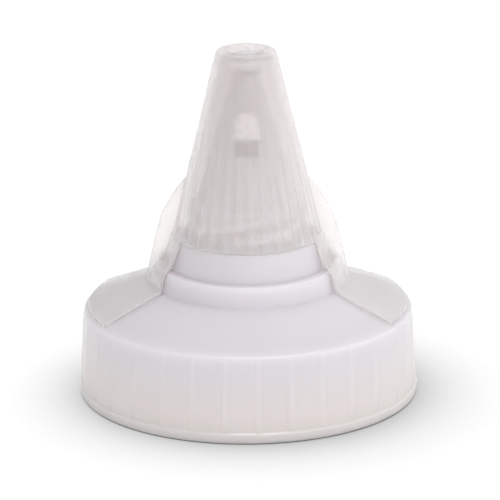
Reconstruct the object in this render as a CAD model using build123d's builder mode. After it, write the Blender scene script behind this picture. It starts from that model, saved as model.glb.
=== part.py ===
"""Twist-open pouring cap for a bottle: ribbed screw cap with a ported valve post, and a winged twist nozzle.

Millimetres, +Z up. The origin is the centre of the screw cap's lower rim, on the surface it stands on.
The front of the cap looks along -Y, and the two wings of the nozzle stand out along +X and -X.
The cap is modelled shut. A quarter turn of the nozzle lifts it off the valve pin.
"""

import math
import os

from build123d import *

os.makedirs("parts", exist_ok=True)

# Bottle neck finish that the cap screws on: 38 mm wide, single turn, six threads per inch.
BOTTLE_THREAD_PITCH = 25.4 / 6
CAP_ROOT_R = 19.0
CAP_CREST_R = 17.9
MOUTH_LAND_R = 19.4
MOUTH_LAND_TOP = 2.0
CAP_THREAD_BOTTOM = 3.2
CAP_THREAD_TURNS = 1.1

# Skirt and its ribs.
SKIRT_TOP_R = 20.6
SKIRT_BOTTOM_R = 21.05
SKIRT_BAND_R = 21.25
BAND_TOP = 1.3
RIM_Z = 10.9
RIM_R = 20.35
RIM_ROUND = 0.4
RIB_COUNT = 32
RIB_PROUD = 0.22
RIB_WIDTH = 0.95
RIB_FROM_FRONT = 3.2

# Shoulder, ring and neck.
DECK_Z = 10.2
DECK_INNER_R = 14.0
SHOULDER_R = 12.0
SHOULDER_Z = 14.1
RING_R = 11.05
RING_Z = 16.6
NECK_BASE_R = 9.95
NECK_TOP_R = 9.1
NECK_STEP_Z = 20.15
NECK_SLOPE = (NECK_BASE_R - NECK_TOP_R) / (NECK_STEP_Z - RING_Z)
THROAT_R = 8.3
CORE_R = 6.9
CORE_TOP = 24.9

# Valve post and pin.
POST_BASE_R = 6.35
POST_TOP_R = 1.65
POST_TOP = 41.0
POST_WALL = 1.0
POST_CAVITY_TOP = 39.4
POST_SLOPE = (POST_BASE_R - POST_TOP_R) / (POST_TOP - CORE_TOP)
PORT_HALF_WIDTH = 1.5
PORT_BOTTOM = 31.2
PORT_TOP = 36.6
PIN_R = 1.35
PIN_TOP = 43.5

# Mouth gasket.
GASKET_THICK = 1.0
GASKET_INNER_R = 14.2
GASKET_OUTER_R = 18.85

# Nozzle cone and tip.
CONE_R = 9.36
CONE_BOTTOM = 20.3
CONE_TOP_R = 3.99
CONE_TOP = 42.9
TIP_Z = 43.9
TIP_R = 3.5
TIP_HOLE_R = 2.2
TIP_HOLE_THROAT_R = 1.75
CONE_SLOPE = (CONE_R - CONE_TOP_R) / (CONE_TOP - CONE_BOTTOM)
BORE_R = 7.6
FLUTE_COUNT = 32
FLUTE_FROM_FRONT = -2.4
FLUTE_CUTTER_R = 0.8
FLUTE_BOTTOM = 20.85
FLUTE_DEPTH = 0.28
FLUTE_TOP = 35.0
FLUTE_TOP_DEPTH = 0.05

# Quick thread between neck and nozzle: four starts, a quarter turn lifts by a quarter of the lead.
LIFT = 2.5
QUICK_LEAD = 4 * LIFT
QUICK_STARTS = 4
QUICK_CREST_R = 7.5
QUICK_RIDGE_R = 7.0
QUICK_BASE_HALF = 0.5
QUICK_CREST_HALF = 0.3

# Orifice seal, held in a pocket under the tip.
SEAL_HOLE_R = 1.42
SEAL_R = 3.2
SEAL_BOTTOM = 41.95
SEAL_TOP = 42.75
POCKET_R = 3.3

# Wings, legs and cover plates of the nozzle. A leg's half angles, in degrees, are listed by radius.
PLATE_SECTOR_DEG = 55.5
PLATE_GAP = 0.1
PLATE_THICK = 0.5
PLATE_R = 20.05
LEG_SECTOR_DEG = 70.0
LEG_GAP = 0.13
LEG_THICK = 0.5
LEG_TOP = 20.75
LEG_HALF_ANGLES = [
    (8.5, 25.0),
    (9.7, 23.5),
    (10.2, 22.2),
    (10.55, 21.8),
    (11.4, 27.2),
    (12.2, 28.0),
    (13.3, 27.2),
]
WING_THICK = 1.2

SHOULDER_SLOPE = (SHOULDER_Z - RIM_Z) / (RIM_R - SHOULDER_R)


def shoulder_z(r, above=0.0):
    """Height of the cap's sloping shoulder at radius r, or of a surface that far above it."""
    return RIM_Z + (RIM_R - r) * SHOULDER_SLOPE + above


def cone_r(z):
    """Outside radius of the nozzle's cone at height z."""
    return CONE_R - (z - CONE_BOTTOM) * CONE_SLOPE


def post_r(z):
    """Outside radius of the valve post at height z."""
    return POST_BASE_R - (z - CORE_TOP) * POST_SLOPE


def neck_r(z):
    """Outside radius of the neck at height z."""
    return NECK_BASE_R - (z - RING_Z) * NECK_SLOPE


def helical_ridge(root_r, crest_r, lead, low, high, base_half, crest_half):
    """One helical ridge about Z, rooted at root_r and reaching crest_r, between two heights."""
    with BuildPart() as ridge:
        with BuildLine():
            path = Helix(pitch=lead, height=high - low, radius=root_r)
        with BuildSketch(Plane.XZ):
            with BuildLine():
                Polyline(
                    (root_r, -base_half),
                    (crest_r, -crest_half),
                    (crest_r, crest_half),
                    (root_r, base_half),
                    close=True,
                )
            make_face()
        sweep(path=path, is_frenet=True)
    return Pos(0, 0, low) * ridge.part


# One rib of the skirt, a low ridge that follows the draft of the wall and ends in a slanted top.
rib_base_r = SKIRT_BOTTOM_R - 0.3
with BuildPart() as rib:
    with BuildSketch(Plane.XY.offset(BAND_TOP - 0.2)):
        with BuildLine():
            Polyline(
                (rib_base_r, -RIB_WIDTH / 2),
                (SKIRT_BOTTOM_R, -RIB_WIDTH / 2),
                (SKIRT_BOTTOM_R + RIB_PROUD, 0),
                (SKIRT_BOTTOM_R, RIB_WIDTH / 2),
                (rib_base_r, RIB_WIDTH / 2),
                close=True,
            )
        make_face()
    with BuildSketch(Plane.XY.offset(RIM_Z - RIM_ROUND - 0.1)):
        with BuildLine():
            Polyline(
                (rib_base_r - 0.45, -RIB_WIDTH / 2),
                (SKIRT_TOP_R, -RIB_WIDTH / 2),
                (SKIRT_TOP_R + RIB_PROUD, 0),
                (SKIRT_TOP_R, RIB_WIDTH / 2),
                (rib_base_r - 0.45, RIB_WIDTH / 2),
                close=True,
            )
        make_face()
    loft()

# Screw cap: skirt, shoulder, ring, neck, valve post and pin, moulded in one.
with BuildPart() as screw_cap:
    with BuildSketch(Plane.XZ):
        with BuildLine():
            Polyline(
                (0, PIN_TOP),
                (PIN_R - 0.25, PIN_TOP),
                (PIN_R, PIN_TOP - 0.3),
                (PIN_R, POST_TOP + 0.3),
                (POST_TOP_R, POST_TOP),
                (POST_BASE_R, CORE_TOP),
                (CORE_R, CORE_TOP - 0.3),
                (CORE_R, NECK_STEP_Z),
                (NECK_TOP_R - 0.15, NECK_STEP_Z),
                (neck_r(NECK_STEP_Z - 0.2), NECK_STEP_Z - 0.2),
                (NECK_BASE_R, RING_Z),
                (RING_R - 0.1, RING_Z),
                (RING_R + 0.2, RING_Z - 0.25),
                (RING_R + 0.4, RING_Z - 0.7),
                (RING_R + 0.65, RING_Z - 1.7),
                (SHOULDER_R, SHOULDER_Z),
                (RIM_R, RIM_Z),
                (SKIRT_TOP_R, RIM_Z - RIM_ROUND),
                (SKIRT_BOTTOM_R, BAND_TOP),
                (SKIRT_BAND_R, BAND_TOP - 0.2),
                (SKIRT_BAND_R, 0.3),
                (SKIRT_BAND_R - 0.3, 0),
                (MOUTH_LAND_R + 0.3, 0),
                (MOUTH_LAND_R, 0.3),
                (MOUTH_LAND_R, MOUTH_LAND_TOP),
                (CAP_ROOT_R, MOUTH_LAND_TOP + 0.4),
                (CAP_ROOT_R, DECK_Z),
                (DECK_INNER_R, DECK_Z),
                (DECK_INNER_R, DECK_Z + 1.4),
                (SHOULDER_R - 1.4, SHOULDER_Z - 1.3),
                (THROAT_R + 0.4, SHOULDER_Z - 0.2),
                (THROAT_R, SHOULDER_Z + 0.8),
                (THROAT_R - 0.6, NECK_STEP_Z - 1.6),
                (CORE_R - POST_WALL - 0.2, NECK_STEP_Z - 0.6),
                (post_r(CORE_TOP) - POST_WALL, CORE_TOP),
                (post_r(POST_CAVITY_TOP) - POST_WALL, POST_CAVITY_TOP),
                (0, POST_CAVITY_TOP),
                close=True,
            )
        make_face()
    revolve(axis=Axis.Z)
    with PolarLocations(0, RIB_COUNT, start_angle=RIB_FROM_FRONT - 90):
        add(rib.part)
    # Ports through the post's front and back, straight sided with a round top.
    with BuildSketch(Plane.XZ):
        with BuildLine():
            Polyline(
                (-PORT_HALF_WIDTH, PORT_TOP - PORT_HALF_WIDTH),
                (-PORT_HALF_WIDTH, PORT_BOTTOM),
                (PORT_HALF_WIDTH, PORT_BOTTOM),
                (PORT_HALF_WIDTH, PORT_TOP - PORT_HALF_WIDTH),
            )
            RadiusArc(
                (PORT_HALF_WIDTH, PORT_TOP - PORT_HALF_WIDTH),
                (-PORT_HALF_WIDTH, PORT_TOP - PORT_HALF_WIDTH),
                -PORT_HALF_WIDTH,
            )
        make_face()
    extrude(amount=CORE_R, both=True, mode=Mode.SUBTRACT)
    # Internal thread for the bottle's neck.
    add(
        helical_ridge(
            CAP_ROOT_R + 0.3,
            CAP_CREST_R,
            BOTTLE_THREAD_PITCH,
            CAP_THREAD_BOTTOM,
            CAP_THREAD_BOTTOM + CAP_THREAD_TURNS * BOTTLE_THREAD_PITCH,
            1.15,
            0.4,
        )
    )
    # Four-start quick thread on the neck's core.
    with PolarLocations(0, QUICK_STARTS):
        add(
            helical_ridge(
                CORE_R - 0.3,
                QUICK_CREST_R,
                QUICK_LEAD,
                NECK_STEP_Z + 0.7,
                CORE_TOP - 0.8,
                QUICK_BASE_HALF,
                QUICK_CREST_HALF,
            )
        )

# Gasket between the bottle's lip and the cap's deck.
with BuildPart() as mouth_gasket:
    with BuildSketch(Plane.XY.offset(DECK_Z - GASKET_THICK)):
        Circle(GASKET_OUTER_R)
        Circle(GASKET_INNER_R, mode=Mode.SUBTRACT)
    extrude(amount=GASKET_THICK)

# Soft ring in the nozzle's tip that closes on the pin.
with BuildPart() as orifice_seal:
    with BuildSketch(Plane.XY.offset(SEAL_BOTTOM)):
        Circle(SEAL_R)
        Circle(SEAL_HOLE_R, mode=Mode.SUBTRACT)
    extrude(amount=SEAL_TOP - SEAL_BOTTOM)
    chamfer(orifice_seal.edges().filter_by(GeomType.CIRCLE).sort_by(SortBy.RADIUS)[-2:], 0.12)

# Cutter for one flute of the cone: deepest at its sill just above the cone's rim,
# and almost run out at FLUTE_TOP.
cone_cos = math.cos(math.atan(CONE_SLOPE))
flute_low_r = cone_r(FLUTE_BOTTOM) + (FLUTE_CUTTER_R - FLUTE_DEPTH) / cone_cos
flute_high_r = cone_r(FLUTE_TOP) + (FLUTE_CUTTER_R - FLUTE_TOP_DEPTH) / cone_cos
flute_axis = Vector(flute_high_r - flute_low_r, 0, FLUTE_TOP - FLUTE_BOTTOM)
flute_start = Vector(flute_low_r, 0, FLUTE_BOTTOM)
with BuildPart() as flute:
    with BuildSketch(Plane(origin=flute_start, z_dir=flute_axis)):
        Circle(FLUTE_CUTTER_R)
    extrude(amount=flute_axis.length)

# One leg of the nozzle: a thin curved strip that hugs the neck and steps over the ring to the cover plate.
plate_top = PLATE_GAP + PLATE_THICK
with BuildPart() as leg:
    with BuildSketch(Plane.XZ.rotated((0, 0, -LEG_SECTOR_DEG / 2))):
        with BuildLine():
            Polyline(
                (cone_r(LEG_TOP) - 0.6, LEG_TOP + 0.1),
                (cone_r(LEG_TOP + 0.1) - 0.03, LEG_TOP + 0.1),
                (neck_r(LEG_TOP - 0.3) + LEG_GAP + LEG_THICK, LEG_TOP - 0.3),
                (neck_r(17.2) + LEG_GAP + LEG_THICK, 17.2),
                (RING_R + 0.1, 17.1),
                (RING_R + 0.6, 16.8),
                (RING_R + 0.9, 16.2),
                (SHOULDER_R + 0.3, 15.1),
                (SHOULDER_R + 0.8, shoulder_z(SHOULDER_R + 0.8, plate_top) - 0.1),
                (SHOULDER_R + 0.5, shoulder_z(SHOULDER_R + 0.5, PLATE_GAP + 0.15)),
                (SHOULDER_R + 0.15, SHOULDER_Z + 0.25),
                (RING_R + 0.65 + LEG_GAP, RING_Z - 1.65),
                (RING_R + 0.4 + LEG_GAP, RING_Z - 0.65),
                (RING_R + 0.2 + LEG_GAP, RING_Z - 0.15),
                (RING_R - 0.05, RING_Z + LEG_GAP),
                (NECK_BASE_R + LEG_GAP, RING_Z + LEG_GAP),
                (neck_r(CONE_BOTTOM) + LEG_GAP, CONE_BOTTOM),
                (cone_r(LEG_TOP) - 0.6, CONE_BOTTOM + 0.15),
                close=True,
            )
        make_face()
    revolve(axis=Axis.Z, revolution_arc=LEG_SECTOR_DEG)
    with BuildSketch(Plane.XY.offset(SHOULDER_Z - 1)):
        corners = [(r * math.cos(math.radians(a)), r * math.sin(math.radians(a))) for r, a in LEG_HALF_ANGLES]
        with BuildLine():
            Polyline(*corners, *[(x, -y) for x, y in reversed(corners)], close=True)
        make_face()
    extrude(amount=LEG_TOP - SHOULDER_Z + 2, mode=Mode.INTERSECT)

# One cover plate of the nozzle: a slightly sloping sector over the shoulder, with a rounded outer edge.
with BuildPart() as plate:
    with BuildSketch(Plane.XZ.rotated((0, 0, -PLATE_SECTOR_DEG / 2))):
        with BuildLine():
            Polyline(
                (SHOULDER_R + 0.15, SHOULDER_Z + 0.25),
                (SHOULDER_R + 0.15, SHOULDER_Z + 0.45),
                (SHOULDER_R + 0.5, shoulder_z(SHOULDER_R + 0.5, plate_top)),
                (PLATE_R - 0.7, shoulder_z(PLATE_R - 0.7, plate_top - 0.04)),
                (PLATE_R - 0.3, shoulder_z(PLATE_R - 0.3, plate_top - 0.14)),
                (PLATE_R - 0.06, shoulder_z(PLATE_R - 0.06, plate_top - 0.3)),
                (PLATE_R, shoulder_z(PLATE_R, PLATE_GAP + 0.08)),
                (PLATE_R - 0.05, shoulder_z(PLATE_R - 0.05, PLATE_GAP)),
                (SHOULDER_R + 0.3, shoulder_z(SHOULDER_R + 0.3, PLATE_GAP)),
                close=True,
            )
        make_face()
    revolve(axis=Axis.Z, revolution_arc=PLATE_SECTOR_DEG)

# One wing: a thin upright fin from the cone down to the cover plate.
with BuildPart() as wing:
    with BuildSketch(Plane.XZ.offset(-WING_THICK / 2)):
        with BuildLine():
            Polyline(
                (7.1, 27.9),
                (7.6, 27.9),
                (8.1, 27.2),
                (9.05, 25.9),
                (9.9, 24.5),
                (10.6, 23.2),
                (11.1, 21.9),
                (12.55, 15.9),
                (12.75, 14.2),
                (12.35, 14.2),
                (12.1, 14.8),
                (11.8, 16.0),
                (11.55, 16.5),
                (11.2, 16.9),
                (10.2, 16.95),
                (9.4, 20.1),
                (8.9, 20.6),
                (8.85, 21.2),
                (8.1, 21.4),
                (7.9, 24.7),
                close=True,
            )
        make_face()
    extrude(amount=WING_THICK)

# Nozzle: fluted cone, tip, legs, wings and cover plates, moulded in one.
with BuildPart() as spout_nozzle:
    with BuildSketch(Plane.XZ):
        with BuildLine():
            Polyline(
                (CONE_R, CONE_BOTTOM),
                (CONE_TOP_R, CONE_TOP),
                (TIP_R + 0.3, TIP_Z - 0.4),
                (TIP_R, TIP_Z),
                (TIP_HOLE_R, TIP_Z),
                (TIP_HOLE_THROAT_R, SEAL_TOP + 0.1),
                (POCKET_R, SEAL_TOP + 0.1),
                (POCKET_R, SEAL_BOTTOM),
                (POCKET_R - 0.25, SEAL_BOTTOM - 0.15),
                (POCKET_R - 0.25, SEAL_BOTTOM - 0.35),
                (POCKET_R + 0.15, SEAL_BOTTOM - 0.65),
                (BORE_R - 0.15, CORE_TOP + 0.3),
                (BORE_R, CORE_TOP - 0.2),
                (BORE_R, CONE_BOTTOM),
                close=True,
            )
        make_face()
    revolve(axis=Axis.Z)
    with PolarLocations(0, FLUTE_COUNT, start_angle=FLUTE_FROM_FRONT - 90):
        add(flute.part, mode=Mode.SUBTRACT)
    with PolarLocations(0, 2):
        add(leg.part)
        add(plate.part)
        add(wing.part)
    # Ridges of the quick thread, halfway between those of the neck.
    with PolarLocations(0, QUICK_STARTS, start_angle=45):
        add(
            helical_ridge(
                BORE_R + 0.3,
                QUICK_RIDGE_R,
                QUICK_LEAD,
                NECK_STEP_Z + 0.9,
                CORE_TOP - 0.9,
                QUICK_BASE_HALF,
                QUICK_CREST_HALF,
            )
        )

screw_cap.part.label = "screw_cap"
mouth_gasket.part.label = "mouth_gasket"
orifice_seal.part.label = "orifice_seal"
spout_nozzle.part.label = "spout_nozzle"
export_step(screw_cap.part, "parts/screw_cap.step")
export_step(mouth_gasket.part, "parts/mouth_gasket.step")
export_step(orifice_seal.part, "parts/orifice_seal.step")
export_step(spout_nozzle.part, "parts/spout_nozzle.step")
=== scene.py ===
"""Looks of the twist-open pouring cap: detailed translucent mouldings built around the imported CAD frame.

Lengths are named in millimetres and turned into metres where a mesh is finished. The front of the
cap looks along -Y, and angles run counter-clockwise from +X, seen from above.
"""

import math

import bmesh
import bpy
from mathutils import Matrix, Vector


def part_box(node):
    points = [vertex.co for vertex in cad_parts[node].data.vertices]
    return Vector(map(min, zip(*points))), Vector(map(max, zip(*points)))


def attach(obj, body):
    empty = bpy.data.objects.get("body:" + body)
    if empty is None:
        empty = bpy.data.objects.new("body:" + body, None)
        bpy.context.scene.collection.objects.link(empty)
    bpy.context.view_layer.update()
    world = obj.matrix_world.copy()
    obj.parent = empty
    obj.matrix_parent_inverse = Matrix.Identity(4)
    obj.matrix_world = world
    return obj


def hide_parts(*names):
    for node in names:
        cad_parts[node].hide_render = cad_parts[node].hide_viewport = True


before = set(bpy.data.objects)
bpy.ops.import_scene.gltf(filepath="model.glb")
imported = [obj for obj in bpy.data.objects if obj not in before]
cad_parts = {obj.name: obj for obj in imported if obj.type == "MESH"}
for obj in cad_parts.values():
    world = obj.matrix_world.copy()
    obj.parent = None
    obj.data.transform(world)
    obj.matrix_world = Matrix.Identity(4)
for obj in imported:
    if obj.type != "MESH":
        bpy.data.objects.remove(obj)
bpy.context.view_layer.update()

MM = 0.001
FRONT = -math.pi / 2

# ---------------------------------------------------------------- driving sizes, some from the frame
cap_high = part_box("screw_cap")[1]
nozzle_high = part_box("spout_nozzle")[1]
gasket_low, gasket_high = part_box("mouth_gasket")
seal_low, seal_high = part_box("orifice_seal")

BAND_R = cap_high.x / MM
PIN_TOP = cap_high.z / MM
TIP_Z = nozzle_high.z / MM
PLATE_R = nozzle_high.x / MM
DECK_Z = gasket_high.z / MM
SEAL_BOTTOM = seal_low.z / MM
SEAL_TOP = seal_high.z / MM

# Skirt, shoulder and ring of the screw cap.
SKIRT_TOP_R = 20.6
SKIRT_BOTTOM_R = 21.05
SKIRT_FROM_R = 20.2
BAND_TOP = 1.3
RIM_Z = 10.9
RIM_R = 20.35
SHOULDER_R = 12.0
SHOULDER_Z = 14.1
SHOULDER_SLOPE = (SHOULDER_Z - RIM_Z) / (RIM_R - SHOULDER_R)
RING_R = 11.05
RING_Z = 16.6
RIB_COUNT = 32
RIB_PROUD = 0.09
RIB_HALF = math.radians(1.5)
RIB_TOP_FADE = 0.75
RIB_FOOT_FADE = 0.25
RIB_AT = FRONT + math.radians(3.2)

# Small round mark of the mould's gate on the skirt's front.
GATE_AT = FRONT + math.radians(-2.3)
GATE_Z = 7.8
GATE_R = 0.6
GATE_DEPTH = 0.09
GATE_EDGE = 0.25

# Inside of the cap.
LAND_R = 19.4
LAND_TOP = 2.0
ROOT_R = 19.0
CREST_R = 17.9
BOTTLE_PITCH = 25.4 / 6
BOTTLE_START_Z = 3.2
BOTTLE_TURNS = 1.1
BOTTLE_BASE_HALF = 1.15
BOTTLE_CREST_HALF = 0.4
DECK_HOLE_R = 14.0
GASKET_HOLE_R = 14.2

# Neck, post and pin.
NECK_BASE_R = 9.95
NECK_TOP_R = 9.1
NECK_STEP_Z = 20.15
NECK_SLOPE = (NECK_BASE_R - NECK_TOP_R) / (NECK_STEP_Z - RING_Z)
THROAT_R = 8.3
CORE_R = 6.9
CORE_TOP = 24.9
POST_BASE_R = 6.35
POST_TOP_R = 1.65
POST_TOP = 41.0
POST_WALL = 1.0
POST_SLOPE = (POST_BASE_R - POST_TOP_R) / (POST_TOP - CORE_TOP)
CAVITY_TOP = 39.4
PORT_HALF = 1.5
PORT_LOW = 31.2
PORT_HIGH = 36.6
PORT_ARC_STEPS = 24
PIN_R = 1.35

# Nozzle cone, tip and flutes.
CONE_R = 9.36
CONE_LOW = 20.3
CONE_TOP_R = 3.99
CONE_TOP = 42.9
CONE_SLOPE = (CONE_R - CONE_TOP_R) / (CONE_TOP - CONE_LOW)
TIP_R = 3.5
TIP_HOLE_R = 2.25
ORIFICE_R = 1.75
POCKET_R = 3.3
POCKET_LIP_R = 3.05
SEAL_HOLE_R = 1.42
BORE_R = 7.6
FLUTE_COUNT = 32
FLUTE_DEPTH = 0.3
FLUTE_SHARE = 0.68
FLUTE_SILL = 0.14
FLUTE_LOW = 20.85
FLUTE_TOP = 35.6
FLUTE_AT = FRONT + math.radians(-2.4)

# Quick thread, on the neck's core and in the nozzle's bore.
QUICK_LEAD = 10.0
QUICK_STARTS = 4
QUICK_HEIGHT = 0.6
QUICK_BASE_HALF = 0.5
QUICK_CREST_HALF = 0.3
CORE_THREAD = (NECK_STEP_Z + 0.7, CORE_TOP - 0.8)
BORE_THREAD = (NECK_STEP_Z + 0.9, CORE_TOP - 0.9)

# Feet and wings of the nozzle.
PLATE_SECTOR = math.radians(55.5)
PLATE_GAP = 0.1
PLATE_THICK = 0.5
PLATE_TOP = PLATE_GAP + PLATE_THICK
LEG_GAP = 0.13
LEG_THICK = 0.5
LEG_TOP = 20.75
LEG_BEND_Z = 17.1
# A leg's half angle in degrees, by radius.
LEG_HALF_ANGLES = [
    (8.5, 25.0),
    (9.7, 23.5),
    (10.2, 22.2),
    (10.55, 21.8),
    (11.4, 27.2),
    (12.2, 28.0),
    (13.3, 27.2),
]
LEG_STEPS = 28
WING_TOP = 28.05
WING_ROOT_HALF = 0.6
WING_EDGE_HALF = 0.45
WING_ARC_STEPS = 8

# Mesh steps, and how near a wall's radius a point lies that belongs to the wall.
LATHE_STEPS = 768
LONGEST_STEP = 0.35
FINE_STEP = 0.12
ON_WALL = 0.02
RIDGE_END_FADE = math.radians(16)


# ---------------------------------------------------------------- mesh helpers
def cone_r(z):
    """Outside radius of the nozzle's cone at height z."""
    return CONE_R - (z - CONE_LOW) * CONE_SLOPE


def shoulder_z(r, above=0.0):
    """Height of the shoulder at radius r, or of a surface that far above it."""
    return RIM_Z + (RIM_R - r) * SHOULDER_SLOPE + above


def post_r(z):
    """Outside radius of the valve post at height z."""
    return POST_BASE_R - (z - CORE_TOP) * POST_SLOPE


def neck_r(z):
    """Outside radius of the neck at height z."""
    return NECK_BASE_R - (z - RING_Z) * NECK_SLOPE


def smooth(t):
    """A soft step from 0 to 1."""
    t = min(max(t, 0.0), 1.0)
    return t * t * (3 - 2 * t)


def between(at, table):
    """Linear reading of (place, value) pairs, in rising order of place."""
    for (low, a), (high, b) in zip(table, table[1:]):
        if at <= high:
            return a + (b - a) * (at - low) / (high - low)
    return table[-1][1]


def rounded(corners, closed=True, steps=6):
    """A polyline from (r, z, fillet radius) corners, with an arc at each corner that has a radius."""
    out = []
    count = len(corners)
    for i, (r, z, fillet) in enumerate(corners):
        here = Vector((r, z))
        if fillet <= 0 or (not closed and i in (0, count - 1)):
            out.append(here)
            continue
        back = Vector(corners[i - 1][:2]) - here
        ahead = Vector(corners[(i + 1) % count][:2]) - here
        turn = back.angle(ahead)
        reach = min(fillet / math.tan(turn / 2), 0.49 * back.length, 0.49 * ahead.length)
        radius = reach * math.tan(turn / 2)
        enter = here + back.normalized() * reach
        leave = here + ahead.normalized() * reach
        halfway = (back.normalized() + ahead.normalized()).normalized()
        centre = here + halfway * (radius / math.sin(turn / 2))
        start = enter - centre
        # angle_signed counts clockwise as positive in 2-D, so the sign is turned back.
        sweep = -start.angle_signed(leave - centre)
        for k in range(steps + 1):
            angle = sweep * k / steps
            cosine = math.cos(angle)
            sine = math.sin(angle)
            arm = Vector((start.x * cosine - start.y * sine, start.x * sine + start.y * cosine))
            out.append(centre + arm)
    return out


def divided(points, longest, closed=True):
    """The same outline with no run longer than longest(p), where p is the run's middle."""
    out = []
    last = len(points) if closed else len(points) - 1
    for i in range(last):
        here = points[i]
        there = points[(i + 1) % len(points)]
        parts = max(1, math.ceil((there - here).length / longest((here + there) / 2)))
        out += [here.lerp(there, k / parts) for k in range(parts)]
    if not closed:
        out.append(points[-1])
    return out


def new_object(name, bm):
    """An object from a bmesh, with outward normals. It stays in millimetres until settle() is called."""
    bmesh.ops.remove_doubles(bm, verts=bm.verts, dist=1e-5)
    bmesh.ops.dissolve_degenerate(bm, edges=bm.edges, dist=1e-6)
    bmesh.ops.recalc_face_normals(bm, faces=bm.faces)
    mesh = bpy.data.meshes.new(name)
    bm.to_mesh(mesh)
    bm.free()
    piece = bpy.data.objects.new(name, mesh)
    bpy.context.scene.collection.objects.link(piece)
    return piece


def lathe(name, profile, move=None, arc=None, middle=0.0, steps=LATHE_STEPS):
    """A closed outline turned about Z, all round or over an arc whose middle is given.

    move(r, z, angle) gives the radius that a point ends at.
    """
    bm = bmesh.new()
    whole = arc is None
    turns = steps if whole else max(8, round(steps * arc / (2 * math.pi)))
    columns = []
    for k in range(turns if whole else turns + 1):
        angle = 2 * math.pi * k / turns if whole else middle - arc / 2 + arc * k / turns
        column = []
        for p in profile:
            r = move(p.x, p.y, angle) if move else p.x
            column.append(bm.verts.new((r * math.cos(angle), r * math.sin(angle), p.y)))
        columns.append(column)
    count = len(profile)
    for k in range(turns):
        here = columns[k]
        there = columns[(k + 1) % len(columns)]
        for i in range(count):
            j = (i + 1) % count
            on_axis = profile[i].x < 1e-6 and profile[j].x < 1e-6
            if not on_axis:
                bm.faces.new((here[i], there[i], there[j], here[j]))
    if not whole:
        bm.faces.new(columns[0])
        bm.faces.new(reversed(columns[-1]))
    return new_object(name, bm)


def prism(name, outline, thickness, edge):
    """A flat outline in the XZ plane, given thickness about Y, with its rim rounded."""
    bm = bmesh.new()
    bm.faces.new([bm.verts.new((p.x, -thickness / 2, p.y)) for p in outline])
    grown = bmesh.ops.extrude_face_region(bm, geom=list(bm.faces))
    moved = [v for v in grown["geom"] if isinstance(v, bmesh.types.BMVert)]
    bmesh.ops.translate(bm, vec=(0, thickness, 0), verts=moved)
    rim = [e for e in bm.edges if abs(e.verts[0].co.y - e.verts[1].co.y) < 1e-6]
    bmesh.ops.bevel(bm, geom=rim, offset=edge, segments=3, profile=0.5, affect="EDGES")
    bmesh.ops.triangulate(bm, faces=[f for f in bm.faces if len(f.verts) > 4])
    return new_object(name, bm)


def combine(target, other, operation):
    """Target joined with, or cut by, another piece, which is used up."""
    modifier = target.modifiers.new(operation, "BOOLEAN")
    modifier.operation = operation
    modifier.solver = "EXACT"
    modifier.object = other
    depsgraph = bpy.context.evaluated_depsgraph_get()
    made = bpy.data.meshes.new_from_object(target.evaluated_get(depsgraph))
    target.modifiers.clear()
    target.data = made
    bpy.data.objects.remove(other)
    return target


def settle(piece, node, body, degrees=32):
    """Brings a finished piece to metres, shades it smooth up to an angle, and ties it to the frame."""
    piece.data.transform(Matrix.Diagonal((MM, MM, MM, 1)))
    piece.data.shade_smooth()
    piece.data.set_sharp_from_angle(angle=math.radians(degrees))
    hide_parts(node)
    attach(piece, body)
    return piece


def ridge_height(angle, z, lead, start_z, turns, phase, base_half, crest_half, height):
    """How far a helical ridge stands out of its wall at this angle and height."""
    best = 0.0
    first = ((angle - phase) % (2 * math.pi)) / (2 * math.pi)
    for whole in range(math.ceil(turns) + 1):
        turned = first + whole
        if turned > turns:
            break
        away = abs(z - start_z - lead * turned)
        flank = (base_half - away) / (base_half - crest_half)
        ends = min(turned, turns - turned) * 2 * math.pi / RIDGE_END_FADE
        best = max(best, height * smooth(flank) * smooth(ends))
    return best


def quick_ridges(angle, z, span, phase):
    """How far the quick thread's ridges stand out of their wall, between the span's two heights.

    The phase is a share of the angle from one start to the next.
    """
    low, high = span
    turns = (high - low) / QUICK_LEAD
    best = 0.0
    for k in range(QUICK_STARTS):
        start = (k + phase) * 2 * math.pi / QUICK_STARTS
        ridge = ridge_height(angle, z, QUICK_LEAD, low, turns, start,
                             QUICK_BASE_HALF, QUICK_CREST_HALF, QUICK_HEIGHT)
        best = max(best, ridge)
    return best


# ---------------------------------------------------------------- screw cap
def cap_move(r, z, angle):
    """Ribs and gate mark on the skirt, the bottle thread inside it and the quick thread on the core."""
    if r > SKIRT_FROM_R and BAND_TOP - 0.05 < z < RIM_Z - 0.02:
        pitch = 2 * math.pi / RIB_COUNT
        away = abs((angle - RIB_AT + pitch / 2) % pitch - pitch / 2)
        top = smooth((RIM_Z - 0.1 - z) / RIB_TOP_FADE)
        low = smooth((z - BAND_TOP) / RIB_FOOT_FADE)
        gate = math.hypot((angle - GATE_AT) * r, z - GATE_Z)
        mark = GATE_DEPTH * smooth((GATE_R - gate) / GATE_EDGE)
        return r + RIB_PROUD * smooth(1 - away / RIB_HALF) * top * low - mark
    if abs(r - ROOT_R) < ON_WALL and z < DECK_Z:
        ridge = ridge_height(angle, z, BOTTLE_PITCH, BOTTLE_START_Z, BOTTLE_TURNS, 0.0,
                             BOTTLE_BASE_HALF, BOTTLE_CREST_HALF, ROOT_R - CREST_R)
        return r - ridge
    if abs(r - CORE_R) < ON_WALL:
        return r + quick_ridges(angle, z, CORE_THREAD, 0.0)
    return r


def cap_step(p):
    """Finer runs where the cap has threads, the ends of its ribs or the gate mark."""
    skirt_end = p.y > RIM_Z - 1.2 or p.y < BAND_TOP + 0.4 or abs(p.y - GATE_Z) < GATE_R
    skirt = p.x > SKIRT_FROM_R
    threaded = abs(p.x - ROOT_R) < ON_WALL or abs(p.x - CORE_R) < ON_WALL
    return FINE_STEP if threaded or (skirt and skirt_end) else LONGEST_STEP * 3


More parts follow.
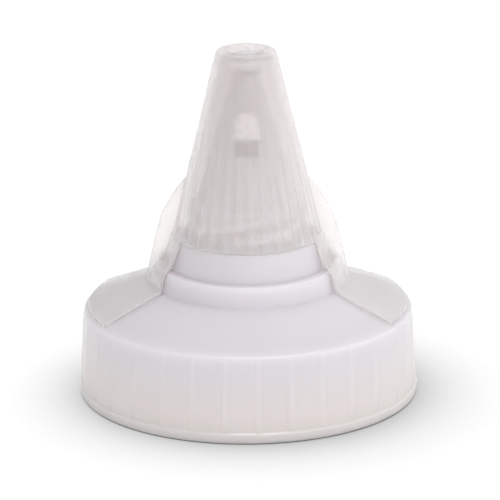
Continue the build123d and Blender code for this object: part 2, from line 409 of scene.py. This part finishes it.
def make_screw_cap():
    """The outline runs from the pin down the outside, round the foot and up the inside."""
    corners = [
        (0, PIN_TOP, 0),
        (PIN_R, PIN_TOP, 0.35),
        (PIN_R, POST_TOP + 0.3, 0.3),
        (POST_TOP_R, POST_TOP, 0.4),
        (POST_BASE_R, CORE_TOP, 0.3),
        (CORE_R - 0.3, CORE_TOP, 0.15),
        (CORE_R, CORE_TOP - 0.3, 0.2),
        (CORE_R, NECK_STEP_Z, 0.2),
        (NECK_TOP_R, NECK_STEP_Z, 0.25),
        (NECK_BASE_R, RING_Z, 0.12),
        (RING_R, RING_Z, 0.35),
        (RING_R + 0.35, RING_Z - 0.6, 0.8),
        (SHOULDER_R - 0.1, SHOULDER_Z + 0.04, 0.5),
        (RIM_R + 0.2, RIM_Z - 0.05, 0.4),
        (SKIRT_TOP_R, RIM_Z - 0.6, 0.2),
        (SKIRT_BOTTOM_R, BAND_TOP + 0.15, 0.1),
        (BAND_R, BAND_TOP - 0.1, 0.12),
        (BAND_R, 0, 0.4),
        (LAND_R + 0.1, 0, 0.25),
        (LAND_R, LAND_TOP, 0.2),
        (ROOT_R, LAND_TOP + 0.4, 0.2),
        (ROOT_R, DECK_Z, 0.25),
        (DECK_HOLE_R, DECK_Z, 0.1),
        (DECK_HOLE_R, DECK_Z + 1.4, 0.5),
        (SHOULDER_R - 1.4, SHOULDER_Z - 1.3, 1.0),
        (THROAT_R + 0.4, SHOULDER_Z - 0.2, 0.6),
        (THROAT_R, SHOULDER_Z + 0.8, 0.6),
        (THROAT_R - 0.6, NECK_STEP_Z - 1.6, 0.5),
        (CORE_R - 1.2, NECK_STEP_Z - 0.6, 0.4),
        (post_r(CORE_TOP) - POST_WALL, CORE_TOP, 0.5),
        (post_r(CAVITY_TOP) - POST_WALL, CAVITY_TOP, 0.3),
        (0, CAVITY_TOP, 0),
    ]
    profile = divided(rounded(corners), cap_step)
    piece = lathe("cap_moulding", profile, cap_move)
    # The port is a slot with a round top, through the front and back walls of the post.
    port = [Vector((-PORT_HALF, PORT_LOW)), Vector((PORT_HALF, PORT_LOW))]
    middle = PORT_HIGH - PORT_HALF
    for k in range(PORT_ARC_STEPS + 1):
        angle = math.pi * k / PORT_ARC_STEPS
        port.append(Vector((PORT_HALF * math.cos(angle), middle + PORT_HALF * math.sin(angle))))
    combine(piece, prism("port_cutter", port, 2 * CORE_R, 0.01), "DIFFERENCE")
    return settle(piece, "screw_cap", "cap")


# ---------------------------------------------------------------- nozzle
def nozzle_move(r, z, angle):
    """Flutes on the cone's lower part, and the ridges of the quick thread in its bore."""
    if abs(r - cone_r(z)) < ON_WALL and FLUTE_LOW < z < FLUTE_TOP:
        pitch = 2 * math.pi / FLUTE_COUNT
        away = abs((angle - FLUTE_AT + pitch / 2) % pitch / pitch - 0.5) * 2
        deep = FLUTE_DEPTH * (1 - (z - FLUTE_LOW) / (FLUTE_TOP - FLUTE_LOW))
        hollow = max(0.0, 1 - (away / FLUTE_SHARE) ** 2)
        return r - deep * hollow * smooth((z - FLUTE_LOW) / FLUTE_SILL)
    if abs(r - BORE_R) < ON_WALL:
        return r - quick_ridges(angle, z, BORE_THREAD, 0.5)
    return r


def nozzle_step(p):
    """Finer runs where the nozzle has the flutes' sills or the thread's ridges."""
    sill = p.x > cone_r(p.y) - 0.1 and p.y < FLUTE_LOW + 0.4
    if sill:
        return FINE_STEP / 2
    return FINE_STEP if abs(p.x - BORE_R) < ON_WALL else LONGEST_STEP * 2


def make_leg(middle):
    """A thin curved strip that hugs the neck, steps over the ring and runs down to the cover plate."""
    # The outer face, from inside the cone's wall down to the plate.
    outside = rounded([
        (cone_r(LEG_TOP) - 0.6, LEG_TOP + 0.15, 0),
        (cone_r(LEG_TOP + 0.15) - 0.03, LEG_TOP + 0.15, 0),
        (neck_r(LEG_TOP - 0.25) + LEG_GAP + LEG_THICK, LEG_TOP - 0.25, 0.3),
        (neck_r(LEG_BEND_Z) + LEG_GAP + LEG_THICK, LEG_BEND_Z, 0.35),
        (RING_R + 0.35, LEG_BEND_Z - 0.1, 0.5),
        (RING_R + 0.95, 16.1, 0.6),
        (SHOULDER_R + 0.35, 14.9, 1.2),
        (SHOULDER_R + 0.95, shoulder_z(SHOULDER_R + 0.95, PLATE_TOP) - 0.1, 0),
    ], closed=False)
    # The inner face, back up over the ring and along the neck.
    inside = rounded([
        (SHOULDER_R + 0.6, shoulder_z(SHOULDER_R + 0.6, PLATE_GAP + 0.15), 0),
        (SHOULDER_R + 0.12, SHOULDER_Z + 0.2, 0.3),
        (RING_R + 0.38 + LEG_GAP, RING_Z - 0.65, 0.6),
        (RING_R + 0.12, RING_Z + LEG_GAP, 0.3),
        (NECK_BASE_R + LEG_GAP, RING_Z + LEG_GAP, 0.15),
        (neck_r(CONE_LOW) + LEG_GAP, CONE_LOW, 0),
        (cone_r(LEG_TOP) - 0.6, CONE_LOW + 0.15, 0),
    ], closed=False)
    outline = divided(outside + inside, lambda p: LONGEST_STEP)
    bm = bmesh.new()
    columns = []
    for k in range(LEG_STEPS + 1):
        share = 2 * k / LEG_STEPS - 1
        column = []
        for p in outline:
            angle = middle + share * math.radians(between(p.x, LEG_HALF_ANGLES))
            column.append(bm.verts.new((p.x * math.cos(angle), p.x * math.sin(angle), p.y)))
        columns.append(column)
    for a, b in zip(columns, columns[1:]):
        for i in range(len(a)):
            n = (i + 1) % len(a)
            bm.faces.new((a[i], b[i], b[n], a[n]))
    ends = [bm.faces.new(columns[0]), bm.faces.new(reversed(columns[-1]))]
    bmesh.ops.triangulate(bm, faces=ends)
    return new_object("leg", bm)


def make_plate(middle):
    """A sloping sector over the shoulder, with a well rounded outer edge."""
    corners = [
        (SHOULDER_R + 0.22, SHOULDER_Z + 0.4, 0.1),
        (SHOULDER_R + 0.6, shoulder_z(SHOULDER_R + 0.6, PLATE_TOP), 0.3),
        (PLATE_R - 0.05, shoulder_z(PLATE_R - 0.05, PLATE_TOP - 0.06), 0.6),
        (PLATE_R, shoulder_z(PLATE_R, PLATE_GAP), 0.06),
        (SHOULDER_R + 0.22, shoulder_z(SHOULDER_R + 0.22, PLATE_GAP), 0.1),
    ]
    profile = divided(rounded(corners), lambda p: LONGEST_STEP * 2)
    return lathe("plate", profile, arc=PLATE_SECTOR, middle=middle)


def make_wing(middle):
    """A thin fin in a radial plane, from the cone down to the cover plate, with a rounded outer edge."""
    # The free edge, from the cone down to the plate.
    edge = rounded([
        (7.35, WING_TOP, 0),
        (9.05, 25.95, 8.0),
        (10.75, 23.0, 7.0),
        (11.4, 20.6, 3.0),
        (12.7, 15.0, 0),
        (12.8, 14.25, 0),
    ], closed=False)
    edge = divided(edge, lambda p: LONGEST_STEP, closed=False)
    # The root as (height, radius), inside the leg and then inside the cone's wall.
    root = [
        (14.2, 12.45),
        (14.9, 12.15),
        (16.0, 11.8),
        (16.5, 11.5),
        (16.9, 10.9),
        (17.1, 10.15),
        (20.0, 9.45),
        (20.7, 8.95),
        (WING_TOP, cone_r(WING_TOP) - 0.45),
    ]
    cosine = math.cos(middle)
    sine = math.sin(middle)
    bm = bmesh.new()
    rings = []
    for p in edge:
        inner = between(p.y, root)
        half = min(WING_EDGE_HALF, 0.45 * (p.x - inner))
        section = [(inner, -WING_ROOT_HALF)]
        for k in range(WING_ARC_STEPS + 1):
            angle = math.pi * (k / WING_ARC_STEPS - 0.5)
            section.append((p.x - half + half * math.cos(angle), half * math.sin(angle)))
        section.append((inner, WING_ROOT_HALF))
        rings.append([bm.verts.new((x * cosine - y * sine, x * sine + y * cosine, p.y))
                      for x, y in section])
    for a, b in zip(rings, rings[1:]):
        for k in range(len(a)):
            n = (k + 1) % len(a)
            bm.faces.new((a[k], a[n], b[n], b[k]))
    bm.faces.new(rings[0])
    bm.faces.new(reversed(rings[-1]))
    return new_object("wing", bm)


def make_nozzle():
    """The cone's outline runs up the outside, over the tip, past the seal's pocket and down the bore."""
    corners = [
        (CONE_R, CONE_LOW, 0.12),
        (cone_r(CONE_TOP), CONE_TOP, 0.9),
        (TIP_R + 0.15, TIP_Z, 0.5),
        (TIP_HOLE_R, TIP_Z, 0.3),
        (ORIFICE_R, SEAL_TOP + 0.1, 0.05),
        (POCKET_R, SEAL_TOP + 0.1, 0.05),
        (POCKET_R, SEAL_BOTTOM, 0),
        (POCKET_LIP_R, SEAL_BOTTOM - 0.15, 0.08),
        (POCKET_LIP_R, SEAL_BOTTOM - 0.35, 0.08),
        (POCKET_R + 0.15, SEAL_BOTTOM - 0.65, 0.3),
        (BORE_R - 0.15, CORE_TOP + 0.3, 0.2),
        (BORE_R, CORE_TOP - 0.2, 0.2),
        (BORE_R, CONE_LOW, 0.12),
    ]
    profile = divided(rounded(corners), nozzle_step)
    piece = lathe("nozzle_moulding", profile, nozzle_move)
    for middle in (0.0, math.pi):
        combine(piece, make_leg(middle), "UNION")
        combine(piece, make_plate(middle), "UNION")
        combine(piece, make_wing(middle), "UNION")
    return settle(piece, "spout_nozzle", "nozzle")


# ---------------------------------------------------------------- seals
def make_gasket():
    outer = gasket_high.x / MM
    low = gasket_low.z / MM
    corners = [
        (GASKET_HOLE_R, low, 0.2),
        (outer, low, 0.2),
        (outer, DECK_Z, 0.1),
        (GASKET_HOLE_R, DECK_Z, 0.1),
    ]
    piece = lathe("gasket_ring", divided(rounded(corners), lambda p: LONGEST_STEP * 2), steps=192)
    return settle(piece, "mouth_gasket", "cap")


def make_seal():
    outer = seal_high.x / MM
    corners = [
        (SEAL_HOLE_R, SEAL_BOTTOM, 0.1),
        (outer, SEAL_BOTTOM, 0.15),
        (outer, SEAL_TOP, 0.15),
        (SEAL_HOLE_R, SEAL_TOP, 0.15),
    ]
    piece = lathe("seal_ring", divided(rounded(corners), lambda p: LONGEST_STEP), steps=128)
    return settle(piece, "orifice_seal", "tip_seal")


# ---------------------------------------------------------------- materials
REFRACTION = 1.5
SCATTER_BY_COLOUR = (1.0, 0.9, 0.85)
CLOUD_SCALE = 160
CLOUD_DIM = 0.97
GRAIN_SCALE = 900
GRAIN_HEIGHT = 0.0001


def nodes_of(name):
    material = bpy.data.materials.new(name)
    material.use_nodes = True
    tree = material.node_tree
    return material, tree, tree.nodes["Principled BSDF"]


def milky_plastic(name, colour, transmission, roughness, bump,
                  alpha=1.0, depth=2.2, painted_light_upper=None, painted_light_heights=(0, 1)):
    """Natural plastic or foam: light passes through thin walls and scatters, with a waxy unevenness.

    The second colour, if there is one, takes over between the two given heights. It is painted light: a
    tone that changes with height to stand in for how light falls on the piece, not a colour of the
    plastic. The scattering depth and the heights are in millimetres.
    """
    material, tree, shader = nodes_of(name)
    shader.inputs["Roughness"].default_value = roughness
    shader.inputs["IOR"].default_value = REFRACTION
    shader.inputs["Alpha"].default_value = alpha
    shader.inputs["Transmission Weight"].default_value = transmission
    shader.inputs["Subsurface Weight"].default_value = 1.0
    shader.inputs["Subsurface Radius"].default_value = SCATTER_BY_COLOUR
    shader.inputs["Subsurface Scale"].default_value = depth * MM
    shader.inputs["Specular IOR Level"].default_value = 0.5
    place = tree.nodes.new("ShaderNodeTexCoord")
    clouds = tree.nodes.new("ShaderNodeTexNoise")
    clouds.inputs["Scale"].default_value = CLOUD_SCALE
    clouds.inputs["Detail"].default_value = 3
    tint = tree.nodes.new("ShaderNodeMix")
    tint.data_type = "RGBA"
    tint.inputs["A"].default_value = (*[c * CLOUD_DIM for c in colour], 1)
    tint.inputs["B"].default_value = (*colour, 1)
    grain = tree.nodes.new("ShaderNodeTexNoise")
    grain.inputs["Scale"].default_value = GRAIN_SCALE
    grain.inputs["Detail"].default_value = 4
    relief = tree.nodes.new("ShaderNodeBump")
    relief.inputs["Strength"].default_value = bump
    relief.inputs["Distance"].default_value = GRAIN_HEIGHT
    link = tree.links.new
    link(place.outputs["Object"], clouds.inputs["Vector"])
    link(place.outputs["Object"], grain.inputs["Vector"])
    link(clouds.outputs["Fac"], tint.inputs["Factor"])
    # Painted light: the base colour fades by height into the second colour, so one end of the piece looks
    # lit and the other shaded.
    if painted_light_upper:
        height = tree.nodes.new("ShaderNodeSeparateXYZ")
        share = tree.nodes.new("ShaderNodeMapRange")
        share.interpolation_type = "SMOOTHSTEP"
        share.inputs["From Min"].default_value = painted_light_heights[0] * MM
        share.inputs["From Max"].default_value = painted_light_heights[1] * MM
        painted_light_mix = tree.nodes.new("ShaderNodeMix")
        painted_light_mix.data_type = "RGBA"
        painted_light_mix.inputs["B"].default_value = (*painted_light_upper, 1)
        link(place.outputs["Object"], height.inputs["Vector"])
        link(height.outputs["Z"], share.inputs["Value"])
        link(share.outputs["Result"], painted_light_mix.inputs["Factor"])
        link(tint.outputs["Result"], painted_light_mix.inputs["A"])
        link(painted_light_mix.outputs["Result"], shader.inputs["Base Color"])
    else:
        link(tint.outputs["Result"], shader.inputs["Base Color"])
    link(grain.outputs["Fac"], relief.inputs["Height"])
    link(relief.outputs["Normal"], shader.inputs["Normal"])
    return material


# Painted light: the cap is lighter and warmer at the foot of its skirt, standing in for bounce light from
# the floor. It fades to a darker, bluer tone at the rim and on everything above it, which stands in for
# shade.
cap_plastic = milky_plastic("cap_plastic", (0.81, 0.735, 0.71), 0.1, 0.22, 0.03, depth=3.5,
                            painted_light_upper=(0.715, 0.685, 0.72), painted_light_heights=(0, RIM_Z))
# Painted light: the nozzle's plates, legs and wings are lighter than its cone, standing in for light
# scattered through them. The cone darkens towards the tip as painted shade.
nozzle_plastic = milky_plastic("nozzle_plastic", (0.99, 0.93, 0.91), 0.3, 0.2, 0.03, alpha=0.47,
                               painted_light_upper=(0.74, 0.69, 0.68), painted_light_heights=(SHOULDER_Z - 2, CONE_TOP))
seal_material = milky_plastic("seal_elastomer", (0.8, 0.8, 0.8), 0.1, 0.45, 0.1)
foam_material = milky_plastic("gasket_foam", (0.85, 0.85, 0.84), 0.0, 0.8, 0.4)

make_screw_cap().data.materials.append(cap_plastic)
make_nozzle().data.materials.append(nozzle_plastic)
make_gasket().data.materials.append(foam_material)
make_seal().data.materials.append(seal_material)

# The frame's own bodies take the same materials.
node_materials = {
    "screw_cap": cap_plastic,
    "spout_nozzle": nozzle_plastic,
    "mouth_gasket": foam_material,
    "orifice_seal": seal_material,
}
for node, material in node_materials.items():
    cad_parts[node].data.materials.clear()
    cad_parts[node].data.materials.append(material)


# ---------------------------------------------------------------- floor, light and camera
# From here on, lengths are in metres.
FLOOR_HALF = 3.0
FLOOR_DROP = 0.00002
FLOOR_GLOW = 1.12
SHADOW_REACH = 0.062
SHADOW_LEAN = Vector((-0.05, 0.1, 1)).normalized()

STRIP_PLACE = (0.06, -0.30, 0.45)
STRIP_SIZE = (0.3, 0.05)
STRIP_POWER = 0.45
STRIP_TARGET = (0, 0, 0.02)

# The room's brightness at the negative and at the positive end of each axis.
ROOM_GLOW = 1.5
ROOM_ENDS = {"X": (0.33, 0.71), "Y": (1.27, 0.8), "Z": (0.7, 1.3)}

RADIUS_UNIT = SKIRT_TOP_R * MM + 0.00015
CAMERA_ELEVATION = math.radians(17.4)
CAMERA_AWAY = 22 * RADIUS_UNIT
CAMERA_ROLL = math.radians(0.45)
CAMERA_AIM = Vector((0.0003, 0, 0.87 * RADIUS_UNIT))
CAMERA_LENS = 262.8


def make_floor():
    """A floor that glows as a lit white sweep does, with a soft shadow near the cap."""
    mesh = bpy.data.meshes.new("floor")
    half = FLOOR_HALF
    corners = [(-half, -half, 0), (half, -half, 0), (half, half, 0), (-half, half, 0)]
    mesh.from_pydata(corners, [], [(0, 1, 2, 3)])
    floor = bpy.data.objects.new("floor", mesh)
    floor.location.z = -FLOOR_DROP
    bpy.context.scene.collection.objects.link(floor)
    material = bpy.data.materials.new("floor")
    material.use_nodes = True
    tree = material.node_tree
    tree.nodes.clear()
    contact = tree.nodes.new("ShaderNodeAmbientOcclusion")
    contact.samples = 16
    contact.inputs["Distance"].default_value = SHADOW_REACH
    lean = tree.nodes.new("ShaderNodeCombineXYZ")
    for axis, share in zip("XYZ", SHADOW_LEAN):
        lean.inputs[axis].default_value = share
    tree.links.new(lean.outputs["Vector"], contact.inputs["Normal"])
    glow = tree.nodes.new("ShaderNodeEmission")
    glow.inputs["Strength"].default_value = FLOOR_GLOW
    out = tree.nodes.new("ShaderNodeOutputMaterial")
    tree.links.new(contact.outputs["Color"], glow.inputs["Color"])
    tree.links.new(glow.outputs["Emission"], out.inputs["Surface"])
    mesh.materials.append(material)


def make_strip():
    """One long soft lamp in front and above."""
    lamp = bpy.data.lights.new("front_strip", "AREA")
    lamp.shape = "RECTANGLE"
    lamp.size, lamp.size_y = STRIP_SIZE
    lamp.energy = STRIP_POWER
    strip = bpy.data.objects.new("front_strip", lamp)
    strip.location = STRIP_PLACE
    facing = Vector(STRIP_TARGET) - Vector(STRIP_PLACE)
    strip.rotation_euler = facing.to_track_quat("-Z", "Y").to_euler()
    bpy.context.scene.collection.objects.link(strip)


def make_world():
    """A white room, dimmer on the left than on the right, and brighter in front and above."""
    world = bpy.data.worlds.new("studio")
    world.use_nodes = True
    tree = world.node_tree
    back = tree.nodes["Background"]
    back.inputs["Strength"].default_value = ROOM_GLOW
    place = tree.nodes.new("ShaderNodeTexCoord")
    parts = tree.nodes.new("ShaderNodeSeparateXYZ")
    tree.links.new(place.outputs["Generated"], parts.inputs["Vector"])
    total = None
    for axis, (low, high) in ROOM_ENDS.items():
        side = tree.nodes.new("ShaderNodeMapRange")
        side.inputs["From Min"].default_value = -1.0
        side.inputs["To Min"].default_value = low
        side.inputs["To Max"].default_value = high
        tree.links.new(parts.outputs[axis], side.inputs["Value"])
        if total is None:
            total = side.outputs["Result"]
            continue
        both = tree.nodes.new("ShaderNodeMath")
        both.operation = "MULTIPLY"
        tree.links.new(total, both.inputs[0])
        tree.links.new(side.outputs["Result"], both.inputs[1])
        total = both.outputs["Value"]
    tree.links.new(total, back.inputs["Color"])
    bpy.context.scene.world = world


def make_camera():
    data = bpy.data.cameras.new("camera")
    data.lens = CAMERA_LENS
    data.sensor_width = 36
    data.clip_start = 0.01
    data.clip_end = 10
    camera = bpy.data.objects.new("camera", data)
    back = Vector((0, -math.cos(CAMERA_ELEVATION), math.sin(CAMERA_ELEVATION)))
    camera.location = CAMERA_AIM + back * CAMERA_AWAY
    level = (-back).to_track_quat("-Z", "Y").to_matrix().to_4x4()
    camera.rotation_euler = (level @ Matrix.Rotation(-CAMERA_ROLL, 4, "Z")).to_euler()
    bpy.context.scene.collection.objects.link(camera)
    bpy.context.scene.camera = camera


make_floor()
make_strip()
make_world()
make_camera()
bpy.context.scene.view_settings.view_transform = "Standard"
# Thin milky shells only look right when light can cross them many times.
bpy.context.scene.cycles.max_bounces = 32
bpy.context.scene.cycles.diffuse_bounces = 16
bpy.context.scene.cycles.transmission_bounces = 32
